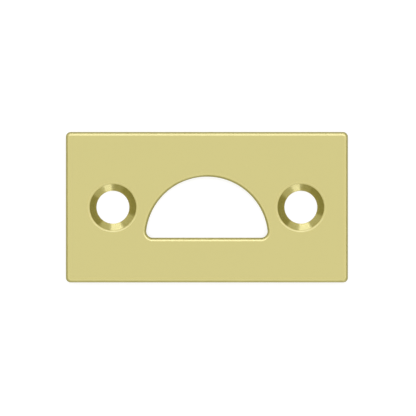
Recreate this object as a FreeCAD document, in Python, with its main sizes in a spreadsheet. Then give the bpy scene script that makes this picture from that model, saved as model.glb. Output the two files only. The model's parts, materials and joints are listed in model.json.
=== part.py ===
import FreeCAD, Part
import math
import os
from enum import IntEnum

import Sketcher

# Flat strike plate for a half-round door bolt. It is one piece of brass plate, with a
# D-shaped opening that the bolt drops into and a countersunk screw hole at each end.
#
# Frame: the plate lies on its back face at Z = 0 and shows its front face to +Z. X runs
# along its length and Y across it, towards the crown of the D. The origin is on the back
# face, under the plate's centre.
#
# The plate is laid out from the opening outwards, so a strip of metal keeps its width
# when another size changes. As listed, it comes to 60 x 32 x 2 mm with its screws 40 mm
# apart.

# Lengths in millimetres and angles in degrees.
DIMENSIONS = [
    ("opening_radius", 13.0, "D-shaped opening: its half-round side"),
    ("opening_corner_radius", 1.4, "D-shaped opening: its two corners"),
    ("side_margin", 9.5, "metal between the opening and each long edge"),
    ("bridge_width", 1.9, "metal between the opening and a countersink"),
    ("end_margin", 4.9, "metal between a countersink and the end beside it"),
    ("screw_hole_diameter", 7.0, "straight hole for the screw's shank"),
    ("seat_width", 1.6, "width of the countersink's slope, seen from the front"),
    ("seat_angle", 90.0, "countersink: included angle of its cone"),
    ("plate_thickness", 2.0, "back face to front face"),
    ("corner_radius", 1.0, "plate corners, seen from the front"),
    ("front_edge_radius", 0.85, "rounding of the outline and the opening, on the front face"),
    ("rim_radius", 0.5, "rounding of each countersink's rim"),
    ("back_edge_break", 0.15, "chamfer that takes the burr off the back edges"),
]

# Sizes that follow from the list above.
SEAT_DIAMETER = "(dims.screw_hole_diameter + 2 * dims.seat_width)"
SCREW_SPACING = f"(2 * (dims.opening_radius + dims.bridge_width) + {SEAT_DIAMETER})"
PLATE_LENGTH = f"({SCREW_SPACING} + {SEAT_DIAMETER} + 2 * dims.end_margin)"
PLATE_WIDTH = "(dims.opening_radius + 2 * dims.side_margin)"
FLAT_SIDE_DEPTH = "(dims.opening_radius / 2)"

# The front rounding is no larger than the metal beside it allows: the plate's own corners,
# its side wall, and the narrowest strip, where the roundings of two edges meet.
CORNER_LIMIT = "0.9 * dims.corner_radius"
WALL_LIMIT = "0.9 * (dims.plate_thickness - dims.back_edge_break)"
STRIP_LIMIT = "0.45 * min(dims.bridge_width; dims.end_margin; dims.side_margin)"
FRONT_ROUNDING = f"min(dims.front_edge_radius; {CORNER_LIMIT}; {WALL_LIMIT}; {STRIP_LIMIT})"

# A rim's rounding leaves most of the cone as it is.
RIM_ROUNDING = f"min(dims.rim_radius; 0.9 * dims.seat_width; {WALL_LIMIT}; {STRIP_LIMIT})"

FACE_UP = FreeCAD.Vector(0, 0, 1)
SAME_PLACE = 1e-6


class Spot(IntEnum):
    """The sketcher's numbers for the points of a curve."""

    START = 1
    END = 2
    CENTRE = 3


class Axis(IntEnum):
    """The sketcher's numbers for a sketch's own axes."""

    X = -1
    Y = -2


ORIGIN = (Axis.X, Spot.START)


def make_sheet(doc):
    """Lists the driving dimensions in a spreadsheet, each under its own alias."""
    sheet = doc.addObject("Spreadsheet::Sheet", "dims")
    for row, (alias, size, meaning) in enumerate(DIMENSIONS, start=1):
        sheet.set(f"A{row}", alias)
        sheet.set(f"B{row}", str(size))
        sheet.set(f"C{row}", meaning)
        sheet.setAlias(f"B{row}", alias)
    doc.recompute()


def new_sketch(body, name):
    """Adds a sketch on the plane of the back face, seen from the front.

    Its curves are first drawn as unit shapes near the origin. Its rules and sizes then
    bring them to their real form.
    """
    sketch = body.newObject("Sketcher::SketchObject", name)
    planes = {feature.Role: feature for feature in body.Origin.OriginFeatures}
    sketch.AttachmentSupport = [(planes["XY_Plane"], "")]
    sketch.MapMode = "FlatFace"
    return sketch


def add_line(sketch, start, end):
    """Draws a straight line between two points, given as (x, y)."""
    line = Part.LineSegment(FreeCAD.Vector(*start, 0), FreeCAD.Vector(*end, 0))
    return sketch.addGeometry(line, False)


def unit_circle(x, y):
    """Makes a circle of unit radius about a point."""
    return Part.Circle(FreeCAD.Vector(x, y, 0), FACE_UP, 1)


def add_rule(sketch, kind, *where):
    """Adds a geometric constraint, such as Horizontal or Equal."""
    sketch.addConstraint(Sketcher.Constraint(kind, *where))


def add_size(sketch, name, kind, where, expression):
    """Adds a dimension that follows an expression."""
    index = sketch.addConstraint(Sketcher.Constraint(kind, *where, 1.0))
    sketch.renameConstraint(index, name)
    sketch.setExpression(f"Constraints.{name}", expression)


def draw_outline(sketch):
    """Draws the plate's outline, a rectangle about the origin with square corners."""
    corners = [(0, 0), (1, 0), (1, 1), (0, 1)]
    next_corners = corners[1:] + corners[:1]
    sides = [add_line(sketch, start, end) for start, end in zip(corners, next_corners)]
    for side, next_side in zip(sides, sides[1:] + sides[:1]):
        add_rule(sketch, "Coincident", side, Spot.END, next_side, Spot.START)

    lower, right, upper, left = sides
    add_rule(sketch, "Horizontal", lower)
    add_rule(sketch, "Horizontal", upper)
    add_rule(sketch, "Vertical", right)
    add_rule(sketch, "Vertical", left)
    add_rule(sketch, "Symmetric", lower, Spot.START, upper, Spot.START, *ORIGIN)
    add_size(sketch, "Length", "DistanceX", (lower, Spot.START, lower, Spot.END), PLATE_LENGTH)
    add_size(sketch, "Width", "DistanceY", (right, Spot.START, right, Spot.END), PLATE_WIDTH)


def draw_opening(sketch):
    """Draws the D, a half circle that stands on its flat side, with square corners."""
    flat = add_line(sketch, (-1, 0), (1, 0))
    crown = sketch.addGeometry(Part.ArcOfCircle(unit_circle(0, 0), 0, math.pi), False)
    centre = (crown, Spot.CENTRE)

    add_rule(sketch, "Coincident", flat, Spot.END, crown, Spot.START)
    add_rule(sketch, "Coincident", crown, Spot.END, flat, Spot.START)
    add_rule(sketch, "Horizontal", flat)
    add_rule(sketch, "PointOnObject", *centre, flat)
    add_rule(sketch, "PointOnObject", *centre, Axis.Y)
    add_size(sketch, "CrownRadius", "Radius", (crown,), "dims.opening_radius")
    add_size(sketch, "FlatDepth", "DistanceY", (*centre, *ORIGIN), FLAT_SIDE_DEPTH)


def draw_screw_centres(sketch):
    """Draws a circle at each screw's place, on the plate's long centre line."""
    left = sketch.addGeometry(unit_circle(-1, 0), False)
    right = sketch.addGeometry(unit_circle(1, 0), False)
    centres = (left, Spot.CENTRE, right, Spot.CENTRE)

    add_rule(sketch, "PointOnObject", left, Spot.CENTRE, Axis.X)
    add_rule(sketch, "Symmetric", *centres, *ORIGIN)
    add_rule(sketch, "Equal", left, right)
    add_size(sketch, "HoleSize", "Diameter", (left,), "dims.screw_hole_diameter")
    add_size(sketch, "Spacing", "DistanceX", centres, SCREW_SPACING)


def level_edges(feature, height, full_circles):
    """Names a feature's edges that lie flat at one height: its full circles, or the others."""
    found = []
    for number, edge in enumerate(feature.Shape.Edges, start=1):
        box = edge.BoundBox
        is_level = max(abs(box.ZMin - height), abs(box.ZMax - height)) < SAME_PLACE
        if is_level and edge.isClosed() == full_circles:
            found.append(f"Edge{number}")
    return found


def upright_edges(feature):
    """Names a feature's upright edges, the ones nearest to the plate's middle first."""
    from_middle = {}
    for number, edge in enumerate(feature.Shape.Edges, start=1):
        box = edge.BoundBox
        if max(box.XLength, box.YLength) < SAME_PLACE:
            from_middle[f"Edge{number}"] = abs(box.Center.x)
    return sorted(from_middle, key=from_middle.get)


def add_fillet(doc, body, name, edges, radius):
    """Rounds edges of the body's newest feature."""
    base = body.Tip
    fillet = body.newObject("PartDesign::Fillet", name)
    fillet.Base = (base, edges)
    fillet.setExpression("Radius", radius)
    doc.recompute()


def make_blank(doc, body):
    """Makes the plain rectangular plate."""
    outline = new_sketch(body, "outline")
    draw_outline(outline)
    blank = body.newObject("PartDesign::Pad", "blank")
    blank.Profile = outline
    blank.setExpression("Length", "dims.plate_thickness")
    doc.recompute()


def cut_opening(doc, body):
    """Cuts the D through the plate, upwards from the back face."""
    profile = new_sketch(body, "opening_profile")
    draw_opening(profile)
    opening = body.newObject("PartDesign::Pocket", "opening")
    opening.Profile = profile
    opening.Type = "ThroughAll"
    opening.Reversed = True
    doc.recompute()


def round_corners(doc, body):
    """Rounds the two corners of the opening and the four corners of the plate."""
    opening_corners = upright_edges(body.Tip)[:2]
    add_fillet(doc, body, "opening_corners", opening_corners, "dims.opening_corner_radius")
    plate_corners = upright_edges(body.Tip)[-4:]
    add_fillet(doc, body, "plate_corners", plate_corners, "dims.corner_radius")


def cut_screw_holes(doc, body):
    """Drills and countersinks the screw holes, downwards from the front face."""
    centres = new_sketch(body, "screw_centres")
    centres.setExpression("AttachmentOffset.Base.z", "dims.plate_thickness")
    draw_screw_centres(centres)
    holes = body.newObject("PartDesign::Hole", "screw_holes")
    holes.Profile = centres
    doc.recompute()
    holes.DepthType = "ThroughAll"
    holes.HoleCutType = "Countersink"
    holes.HoleCutCustomValues = True
    holes.setExpression("Diameter", "dims.screw_hole_diameter")
    holes.setExpression("HoleCutDiameter", SEAT_DIAMETER)
    holes.setExpression("HoleCutCountersinkAngle", "dims.seat_angle")
    doc.recompute()


def round_front_edges(doc, body):
    """Rounds every edge of the front face: the countersinks, then the outline and the opening."""
    rims = level_edges(body.Tip, doc.dims.plate_thickness, full_circles=True)
    add_fillet(doc, body, "rim_rounding", rims, RIM_ROUNDING)
    edges = level_edges(body.Tip, doc.dims.plate_thickness, full_circles=False)
    add_fillet(doc, body, "front_rounding", edges, FRONT_ROUNDING)


def break_back_edges(doc, body):
    """Chamfers the back edges of the outline and the opening. The screw holes' stay square."""
    base = body.Tip
    edges = level_edges(base, 0, full_circles=False)
    chamfer = body.newObject("PartDesign::Chamfer", "back_break")
    chamfer.Base = (base, edges)
    chamfer.setExpression("Size", "dims.back_edge_break")
    doc.recompute()


def check(doc, body):
    """Stops with a message if a feature failed or the result isn't one sound solid."""
    for item in doc.Objects:
        if "Invalid" in item.State or "Error" in item.State:
            raise RuntimeError(f"{item.Label} failed: {item.State}")
        if item.isDerivedFrom("Sketcher::SketchObject") and not item.FullyConstrained:
            raise RuntimeError(f"{item.Label} has a size missing")
    shape = body.Shape
    if shape.isNull() or not shape.isValid() or len(shape.Solids) != 1:
        raise RuntimeError(f"{body.Label} isn't one valid solid")


def main():
    doc = FreeCAD.newDocument("door_strike_plate")
    make_sheet(doc)
    body = doc.addObject("PartDesign::Body", "strike_plate")
    body.Label = "strike_plate"
    make_blank(doc, body)
    cut_opening(doc, body)
    round_corners(doc, body)
    cut_screw_holes(doc, body)
    round_front_edges(doc, body)
    break_back_edges(doc, body)
    check(doc, body)

    os.makedirs("parts", exist_ok=True)
    body.Shape.exportStep(f"parts/{body.Label}.step")
    box = body.Shape.BoundBox
    print(f"{body.Label}: {box.XLength:.2f} x {box.YLength:.2f} x {box.ZLength:.2f} mm")


main()
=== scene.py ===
"""Brass strike plate on a pale floor, seen straight from above under soft studio light."""
import json
import math

import bpy
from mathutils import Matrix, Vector


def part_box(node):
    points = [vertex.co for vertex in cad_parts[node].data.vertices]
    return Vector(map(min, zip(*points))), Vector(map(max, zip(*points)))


# The plate. Lengths are in metres throughout. A seat is a countersink's cone, and its width
# is that of the ring that it makes as seen from above.
PLATE_NODE = "strike_plate"
SEAT_WIDTH = 0.0016
MM_PER_METRE = 1000

# The picture. The plate's outline spans PLATE_LEFT to PLATE_RIGHT in it, and its middle is
# at PLATE_MIDDLE, all in pixels from the top left corner.
PICTURE_SIZE = 416
PLATE_LEFT = 65.95
PLATE_RIGHT = 347.85
PLATE_MIDDLE = (206.9, 207.2)

CAMERA_HEIGHT = 0.3
CAMERA_NEAR = 0.01
CAMERA_FAR = 10.0

# Brass, in linear colour. EDGE_TINT is the tint of what it mirrors at grazing angles, and
# CLOUDING the share by which the face's colour varies.
BRASS = (0.625, 0.557, 0.192)
TURNED_BRASS = (0.66, 0.575, 0.190)
# The much darker brass here, for the steep walls and the steepest part of the eased edges, is painted
# shade: it stands in for the dark outline that the light gives there.
PAINTED_SHADE_WALL_BRASS = (0.29, 0.266, 0.098)
EDGE_TINT = (0.78, 0.71, 0.41)
CLOUDING = 0.01
FACE_ROUGHNESS = 0.20
TURNED_ROUGHNESS = 0.18
EDGE_ROUGHNESS = 0.28
RIM_ROUGHNESS = 0.45
CUT_ROUGHNESS = 0.30
ROUGHNESS_SPREAD = 0.03

# Clear lacquer, which is thin on the cut walls.
LACQUER_ROUGHNESS = 0.25
LACQUER_IOR = 1.7
LACQUER_ON_FACE = 1.0
LACQUER_ON_CUTS = 0.1

# Which places are walls, slopes or eased edges, by how far their normals point up or down.
# Each holds up to the first value and is gone from the second. The normals of the back
# point lower than BACK_BELOW.
WALL_BELOW = 0.52
WALL_GONE = 0.76
SLOPE_BELOW = 0.75
SLOPE_GONE = 0.95
EASED_BELOW = 0.97
EASED_GONE = 0.999
BACK_BELOW = -0.5

# The countersinks' rims. Their middle lies just outside the cone's edge. They hold up to
# the first distance from there, and are gone from the second.
RIM_OFFSET = 0.00005
RIM_FULL = 0.00014
RIM_GONE = 0.00028

# Fine relief and clouds. Counts are per metre along X, Y and Z.
CLOUDS = (90, 90, 90)
BRUSHING = (300, 12000, 300)
BRUSHING_DEPTH = 4e-7
SHEARING = (9000, 9000, 350)
SHEARING_DEPTH = 8e-7
NOISE_DETAIL = 2.0
NOISE_MIDDLE = 0.5

# The countersinks' turning marks. Their flanks face a little more upwards than the cone, by
# the slope TURNING_RISE. They end TURNING_INSET inside its edge.
TURNING_RISE = 0.15
TURNING_PITCH = 0.00009
TURNING_DEPTH = 3e-7
TURNING_BLEND = 0.00005
TURNING_INSET = 0.00015

# The sky. Radiances are relative to white, and angles are in degrees above the floor. A dim
# warm band fades in over BAND_START and out over BAND_END. The dome's light passes into
# the zenith's over DOME_TOP.
WHITE = (1.0, 1.0, 1.0)
BAND_COLOUR = (0.238, 0.228, 0.042)
BAND_START = (0, 3)
BAND_END = (14, 25)
DOME_LIGHT = 1.07
ZENITH_LIGHT = 1.0
DOME_TOP = (60, 80)

# The lamps. Low ones stand in a ring inside the band, where the countersinks mirror them.
LAMP_DISTANCE = 3.0
KEY_ELEVATION = 57
LOW_ELEVATION = 12
LOW_HEIGHT = 8
KEY_COLOUR = (0.93, 0.96, 1.5)
STRIP_COLOUR = (0.92, 0.97, 1.46)
SPREAD_COLOUR = (0.93, 0.98, 1.17)
TWELVE_OCLOCK = 90
DEGREES_PER_HOUR = 30

# The floor. Its glow is for the camera and for reflections, and lights nothing else.
FLOOR_RADIUS = 1.6
FLOOR_SEGMENTS = 96
FLOOR_COLOUR = (0.4, 0.4, 0.395)
FLOOR_GLOW = 0.69

# The Mix node's colour sockets share their names with others on it, so they go by number.
MIX_FIRST = 6
MIX_SECOND = 7
MIX_RESULT = 2


class Graph:
    """Short calls for building a shader's nodes."""

    def __init__(self, tree):
        self.tree = tree
        tree.nodes.clear()

    def add(self, kind, settings=None, **inputs):
        """Adds a node. An input is given a value, or the output socket that feeds it."""
        node = self.tree.nodes.new(kind)
        for name, value in (settings or {}).items():
            setattr(node, name, value)
        for name, value in inputs.items():
            self.feed(node.inputs[name.replace("_", " ")], value)
        return node

    def feed(self, socket, value):
        if isinstance(value, bpy.types.NodeSocket):
            self.tree.links.new(value, socket)
        else:
            socket.default_value = value

    def math(self, operation, *values):
        node = self.tree.nodes.new("ShaderNodeMath")
        node.operation = operation
        for socket, value in zip(node.inputs, values):
            self.feed(socket, value)
        return node.outputs[0]

    def ramp(self, value, start, end, low=0.0, high=1.0):
        """A smooth change from low to high while the value goes from start to end."""
        node = self.tree.nodes.new("ShaderNodeMapRange")
        node.interpolation_type = "SMOOTHSTEP"
        for socket, given in zip(node.inputs, (value, start, end, low, high)):
            self.feed(socket, given)
        return node.outputs[0]

    def blend(self, share, first, second):
        """A number that goes smoothly from the first to the second as the share grows."""
        return self.ramp(share, 0.0, 1.0, first, second)

    def mix_colour(self, share, first, second):
        node = self.tree.nodes.new("ShaderNodeMix")
        node.data_type = "RGBA"
        self.feed(node.inputs["Factor"], share)
        self.feed(node.inputs[MIX_FIRST], first)
        self.feed(node.inputs[MIX_SECOND], second)
        return node.outputs[MIX_RESULT]


def rgba(colour):
    return (*colour, 1.0)


def shade(colour, factor):
    """The colour made lighter or darker, for a socket."""
    return rgba(factor * part for part in colour)


def sine(degrees):
    return math.sin(math.radians(degrees))


def new_material(name):
    material = bpy.data.materials.new(name)
    material.use_nodes = True
    return material, Graph(material.node_tree)


def noise(graph, position, counts):
    """Random value about NOISE_MIDDLE that changes so many times a metre along X, Y and Z."""
    stretched = graph.add("ShaderNodeVectorMath", {"operation": "MULTIPLY"})
    graph.feed(stretched.inputs[0], position)
    graph.feed(stretched.inputs[1], counts)
    texture = graph.add("ShaderNodeTexNoise", Vector=stretched.outputs[0], Scale=1.0, Detail=NOISE_DETAIL)
    return texture.outputs["Fac"]


def from_screw_hole(graph, position, spacing):
    """Distance from the axis of the nearer screw hole."""
    parts = graph.add("ShaderNodeSeparateXYZ", Vector=position)
    along = graph.math("SUBTRACT", graph.math("ABSOLUTE", parts.outputs["X"]), spacing / 2)
    across = parts.outputs["Y"]
    squares = graph.math("MULTIPLY_ADD", along, along, graph.math("MULTIPLY", across, across))
    return graph.math("SQRT", squares)


class Areas:
    """The plate's areas, each as how far a place belongs to it, from 0 to 1."""

    def __init__(self, graph, facing, distance, seat_radius):
        upright = graph.math("ABSOLUTE", facing)
        seat = graph.math("LESS_THAN", distance, seat_radius)
        off_seat = graph.math("SUBTRACT", 1.0, seat)
        from_rim = graph.math("ABSOLUTE", graph.math("SUBTRACT", distance, seat_radius + RIM_OFFSET))
        slope = graph.ramp(upright, SLOPE_GONE, SLOPE_BELOW)
        self.front = graph.math("GREATER_THAN", facing, BACK_BELOW)
        self.level = graph.ramp(upright, SLOPE_BELOW, SLOPE_GONE)
        # The steep walls: their brass is darkened with painted shade, and they are also rougher, streaked
        # and thinly lacquered.
        self.cut = graph.ramp(upright, WALL_GONE, WALL_BELOW)
        self.turned = graph.math("MULTIPLY", seat, slope)
        self.eased = graph.math("MULTIPLY", off_seat, graph.ramp(upright, EASED_GONE, EASED_BELOW))
        self.rim = graph.math("MULTIPLY", self.front, graph.ramp(from_rim, RIM_GONE, RIM_FULL))


def brass_colour(graph, areas, position):
    clouds = noise(graph, position, CLOUDS)
    face = graph.mix_colour(clouds, shade(BRASS, 1 - CLOUDING), shade(BRASS, 1 + CLOUDING))
    colour = graph.mix_colour(areas.turned, face, rgba(TURNED_BRASS))
    # Painted shade: the steep walls take a much darker brass than the face.
    return graph.mix_colour(areas.cut, colour, rgba(PAINTED_SHADE_WALL_BRASS))


def brass_roughness(graph, areas, brushing, shearing):
    roughness = graph.blend(areas.turned, FACE_ROUGHNESS, TURNED_ROUGHNESS)
    roughness = graph.blend(areas.eased, roughness, EDGE_ROUGHNESS)
    roughness = graph.blend(areas.rim, roughness, RIM_ROUGHNESS)
    roughness = graph.blend(areas.cut, roughness, CUT_ROUGHNESS)
    streaks = graph.math("SUBTRACT", graph.blend(areas.cut, brushing, shearing), NOISE_MIDDLE)
    return graph.math("MULTIPLY_ADD", streaks, ROUGHNESS_SPREAD, roughness)


def turning_marks(graph, distance, seat_radius):
    """Height of the fine rings that the countersinking tool leaves."""
    inner = graph.math("SMOOTH_MIN", distance, seat_radius - TURNING_INSET, TURNING_BLEND)
    rise = graph.math("MULTIPLY", inner, -TURNING_RISE)
    ring = graph.math("SINE", graph.math("MULTIPLY", inner, 2 * math.pi / TURNING_PITCH))
    return graph.math("MULTIPLY_ADD", ring, TURNING_DEPTH, rise)


def brass_relief(graph, areas, marks, brushing, shearing):
    """Normals with turning marks in the seats, brushing on the face and streaks on the walls."""
    height = graph.math("MULTIPLY", areas.front, marks)
    face_depth = graph.math("MULTIPLY", areas.level, BRUSHING_DEPTH)
    height = graph.math("MULTIPLY_ADD", brushing, face_depth, height)
    wall_depth = graph.math("MULTIPLY", areas.cut, SHEARING_DEPTH)
    height = graph.math("MULTIPLY_ADD", shearing, wall_depth, height)
    relief = graph.add("ShaderNodeBump", Strength=1.0, Distance=1.0, Height=height)
    return relief.outputs[0]


def satin_brass(spacing, seat_radius):
    """Satin brass under clear lacquer: brushed face, turned countersinks, rougher cut walls darkened with
    painted shade.
    """
    material, graph = new_material("satin_brass")
    place = graph.add("ShaderNodeTexCoord")
    position = place.outputs["Object"]
    normal = graph.add("ShaderNodeSeparateXYZ", Vector=place.outputs["Normal"])
    distance = from_screw_hole(graph, position, spacing)
    areas = Areas(graph, normal.outputs["Z"], distance, seat_radius)

    brushing = noise(graph, position, BRUSHING)
    shearing = noise(graph, position, SHEARING)
    marks = turning_marks(graph, distance, seat_radius)
    relief = brass_relief(graph, areas, marks, brushing, shearing)

    shader = graph.add("ShaderNodeBsdfPrincipled", Metallic=1.0)
    graph.feed(shader.inputs["Base Color"], brass_colour(graph, areas, position))
    graph.feed(shader.inputs["Roughness"], brass_roughness(graph, areas, brushing, shearing))
    graph.feed(shader.inputs["Normal"], relief)
    graph.feed(shader.inputs["Coat Normal"], relief)
    graph.feed(shader.inputs["Coat Weight"], graph.blend(areas.cut, LACQUER_ON_FACE, LACQUER_ON_CUTS))
    shader.inputs["Coat Roughness"].default_value = LACQUER_ROUGHNESS
    shader.inputs["Coat IOR"].default_value = LACQUER_IOR
    shader.inputs["Specular Tint"].default_value = rgba(EDGE_TINT)
    output = graph.add("ShaderNodeOutputMaterial")
    graph.feed(output.inputs["Surface"], shader.outputs[0])
    return material


def pale_floor():
    """A matt floor that glows enough to show white to the camera and in reflections."""
    material, graph = new_material("pale_floor")
    path = graph.add("ShaderNodeLightPath")
    seen = graph.math("MAXIMUM", path.outputs["Is Camera Ray"], path.outputs["Is Glossy Ray"])
    seen = graph.math("MAXIMUM", seen, path.outputs["Is Transmission Ray"])
    glow = graph.math("MULTIPLY", seen, FLOOR_GLOW)
    matt = graph.add("ShaderNodeBsdfDiffuse", Color=rgba(FLOOR_COLOUR))
    light = graph.add("ShaderNodeEmission", Strength=glow)
    both = graph.add("ShaderNodeAddShader")
    graph.feed(both.inputs[0], matt.outputs[0])
    graph.feed(both.inputs[1], light.outputs[0])
    output = graph.add("ShaderNodeOutputMaterial")
    graph.feed(output.inputs["Surface"], both.outputs[0])
    return material


def make_floor():
    bpy.ops.mesh.primitive_circle_add(vertices=FLOOR_SEGMENTS, radius=FLOOR_RADIUS, fill_type="NGON")
    floor = bpy.context.object
    floor.name = "floor"
    floor.data.materials.append(pale_floor())


def make_dome():
    """Soft light from all round, with a dim warm band just above the horizon."""
    world = bpy.data.worlds.new("dome")
    bpy.context.scene.world = world
    world.use_nodes = True
    graph = Graph(world.node_tree)
    direction = graph.add("ShaderNodeTexCoord")
    parts = graph.add("ShaderNodeSeparateXYZ", Vector=direction.outputs["Generated"])
    height = parts.outputs["Z"]
    below = graph.ramp(height, sine(BAND_START[0]), sine(BAND_START[1]), 1.0, 0.0)
    above = graph.ramp(height, sine(BAND_END[0]), sine(BAND_END[1]))
    outside = graph.math("MAXIMUM", below, above)
    colour = graph.mix_colour(outside, rgba(BAND_COLOUR), rgba(WHITE))
    strength = graph.ramp(height, sine(DOME_TOP[0]), sine(DOME_TOP[1]), DOME_LIGHT, ZENITH_LIGHT)
    sky = graph.add("ShaderNodeBackground", Color=colour, Strength=strength)
    output = graph.add("ShaderNodeOutputWorld")
    graph.feed(output.inputs["Surface"], sky.outputs[0])


def add_softbox(name, clock, elevation, wide, high, radiance, colour):
    """Adds a rectangular lamp far from the plate.

    Its direction is an hour on the clock, with 12 at the top of the picture, and an angle
    above the floor. Its width and height are the angles that it spans.
    """
    turn = math.radians(TWELVE_OCLOCK - DEGREES_PER_HOUR * clock)
    rise = math.radians(elevation)
    towards = Vector((math.cos(turn) * math.cos(rise), math.sin(turn) * math.cos(rise), math.sin(rise)))
    lamp = bpy.data.lights.new(name, "AREA")
    lamp.shape = "RECTANGLE"
    lamp.size = 2 * LAMP_DISTANCE * math.tan(math.radians(wide / 2))
    lamp.size_y = 2 * LAMP_DISTANCE * math.tan(math.radians(high / 2))
    lamp.color = colour
    lamp.energy = radiance * math.pi * lamp.size * lamp.size_y
    softbox = bpy.data.objects.new(name, lamp)
    softbox.location = towards * LAMP_DISTANCE
    softbox.rotation_euler = towards.to_track_quat("Z", "Y").to_euler()
    bpy.context.scene.collection.objects.link(softbox)


def add_low_lamp(name, clock, wide, radiance, colour):
    """Adds a lamp in the low ring."""
    add_softbox(name, clock, LOW_ELEVATION, wide, LOW_HEIGHT, radiance, colour)


def make_lamps():
    """The key from above, and bright strips and dimmer spreads in the low ring."""
    add_softbox("key_softbox", 12.2, KEY_ELEVATION, wide=60, high=21, radiance=0.86, colour=KEY_COLOUR)
    add_softbox("key_spread", 12.5, KEY_ELEVATION, wide=110, high=24, radiance=0.3, colour=KEY_COLOUR)
    add_low_lamp("upper_strip", clock=11.65, wide=31, radiance=1.20, colour=STRIP_COLOUR)
    add_low_lamp("upper_left_spread", clock=10.5, wide=44, radiance=0.43, colour=SPREAD_COLOUR)
    add_low_lamp("upper_right_spread", clock=0.2, wide=61, radiance=0.56, colour=SPREAD_COLOUR)
    add_low_lamp("lower_strip", clock=5.54, wide=20, radiance=0.86, colour=STRIP_COLOUR)
    add_low_lamp("lower_spread", clock=5.52, wide=37, radiance=0.20, colour=STRIP_COLOUR)
    add_low_lamp("lower_right_spread", clock=5.0, wide=53, radiance=0.43, colour=SPREAD_COLOUR)
    add_low_lamp("lower_left_spread", clock=6.33, wide=36, radiance=0.17, colour=SPREAD_COLOUR)


def make_camera():
    """Looks straight down, framed so that the plate lies where the picture shows it."""
    lowest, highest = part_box(PLATE_NODE)
    metres_per_pixel = (highest.x - lowest.x) / (PLATE_RIGHT - PLATE_LEFT)
    middle = (lowest + highest) / 2
    half_picture = PICTURE_SIZE / 2
    camera = bpy.data.cameras.new("camera")
    camera.type = "ORTHO"
    camera.ortho_scale = PICTURE_SIZE * metres_per_pixel
    camera.clip_start = CAMERA_NEAR
    camera.clip_end = CAMERA_FAR
    holder = bpy.data.objects.new("camera", camera)
    holder.location = (
        middle.x + (half_picture - PLATE_MIDDLE[0]) * metres_per_pixel,
        middle.y - (half_picture - PLATE_MIDDLE[1]) * metres_per_pixel,
        CAMERA_HEIGHT,
    )
    bpy.context.scene.collection.objects.link(holder)
    bpy.context.scene.camera = holder


def dress_plate(plate, record):
    """Gives the plate its finish."""
    holes = next(mount for mount in record["mounts"] if mount["name"] == "screw_holes")
    spacing = holes["dims"]["spacing_x_mm"] / MM_PER_METRE
    seat_radius = holes["dims"]["hole_r_mm"] / MM_PER_METRE + SEAT_WIDTH
    brass = satin_brass(spacing, seat_radius)
    for slot in plate.material_slots:
        slot.material = brass


with open("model.json") as file:
    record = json.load(file)
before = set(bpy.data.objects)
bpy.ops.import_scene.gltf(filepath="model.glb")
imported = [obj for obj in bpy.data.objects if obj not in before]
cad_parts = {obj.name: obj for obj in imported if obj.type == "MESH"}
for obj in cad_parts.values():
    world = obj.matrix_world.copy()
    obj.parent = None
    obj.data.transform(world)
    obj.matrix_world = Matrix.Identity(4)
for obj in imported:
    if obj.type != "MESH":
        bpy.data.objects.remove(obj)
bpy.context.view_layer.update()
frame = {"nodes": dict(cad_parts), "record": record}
bpy.context.scene.view_settings.view_transform = "Standard"
dress_plate(frame["nodes"][PLATE_NODE], frame["record"])
make_floor()
make_dome()
make_lamps()
make_camera()
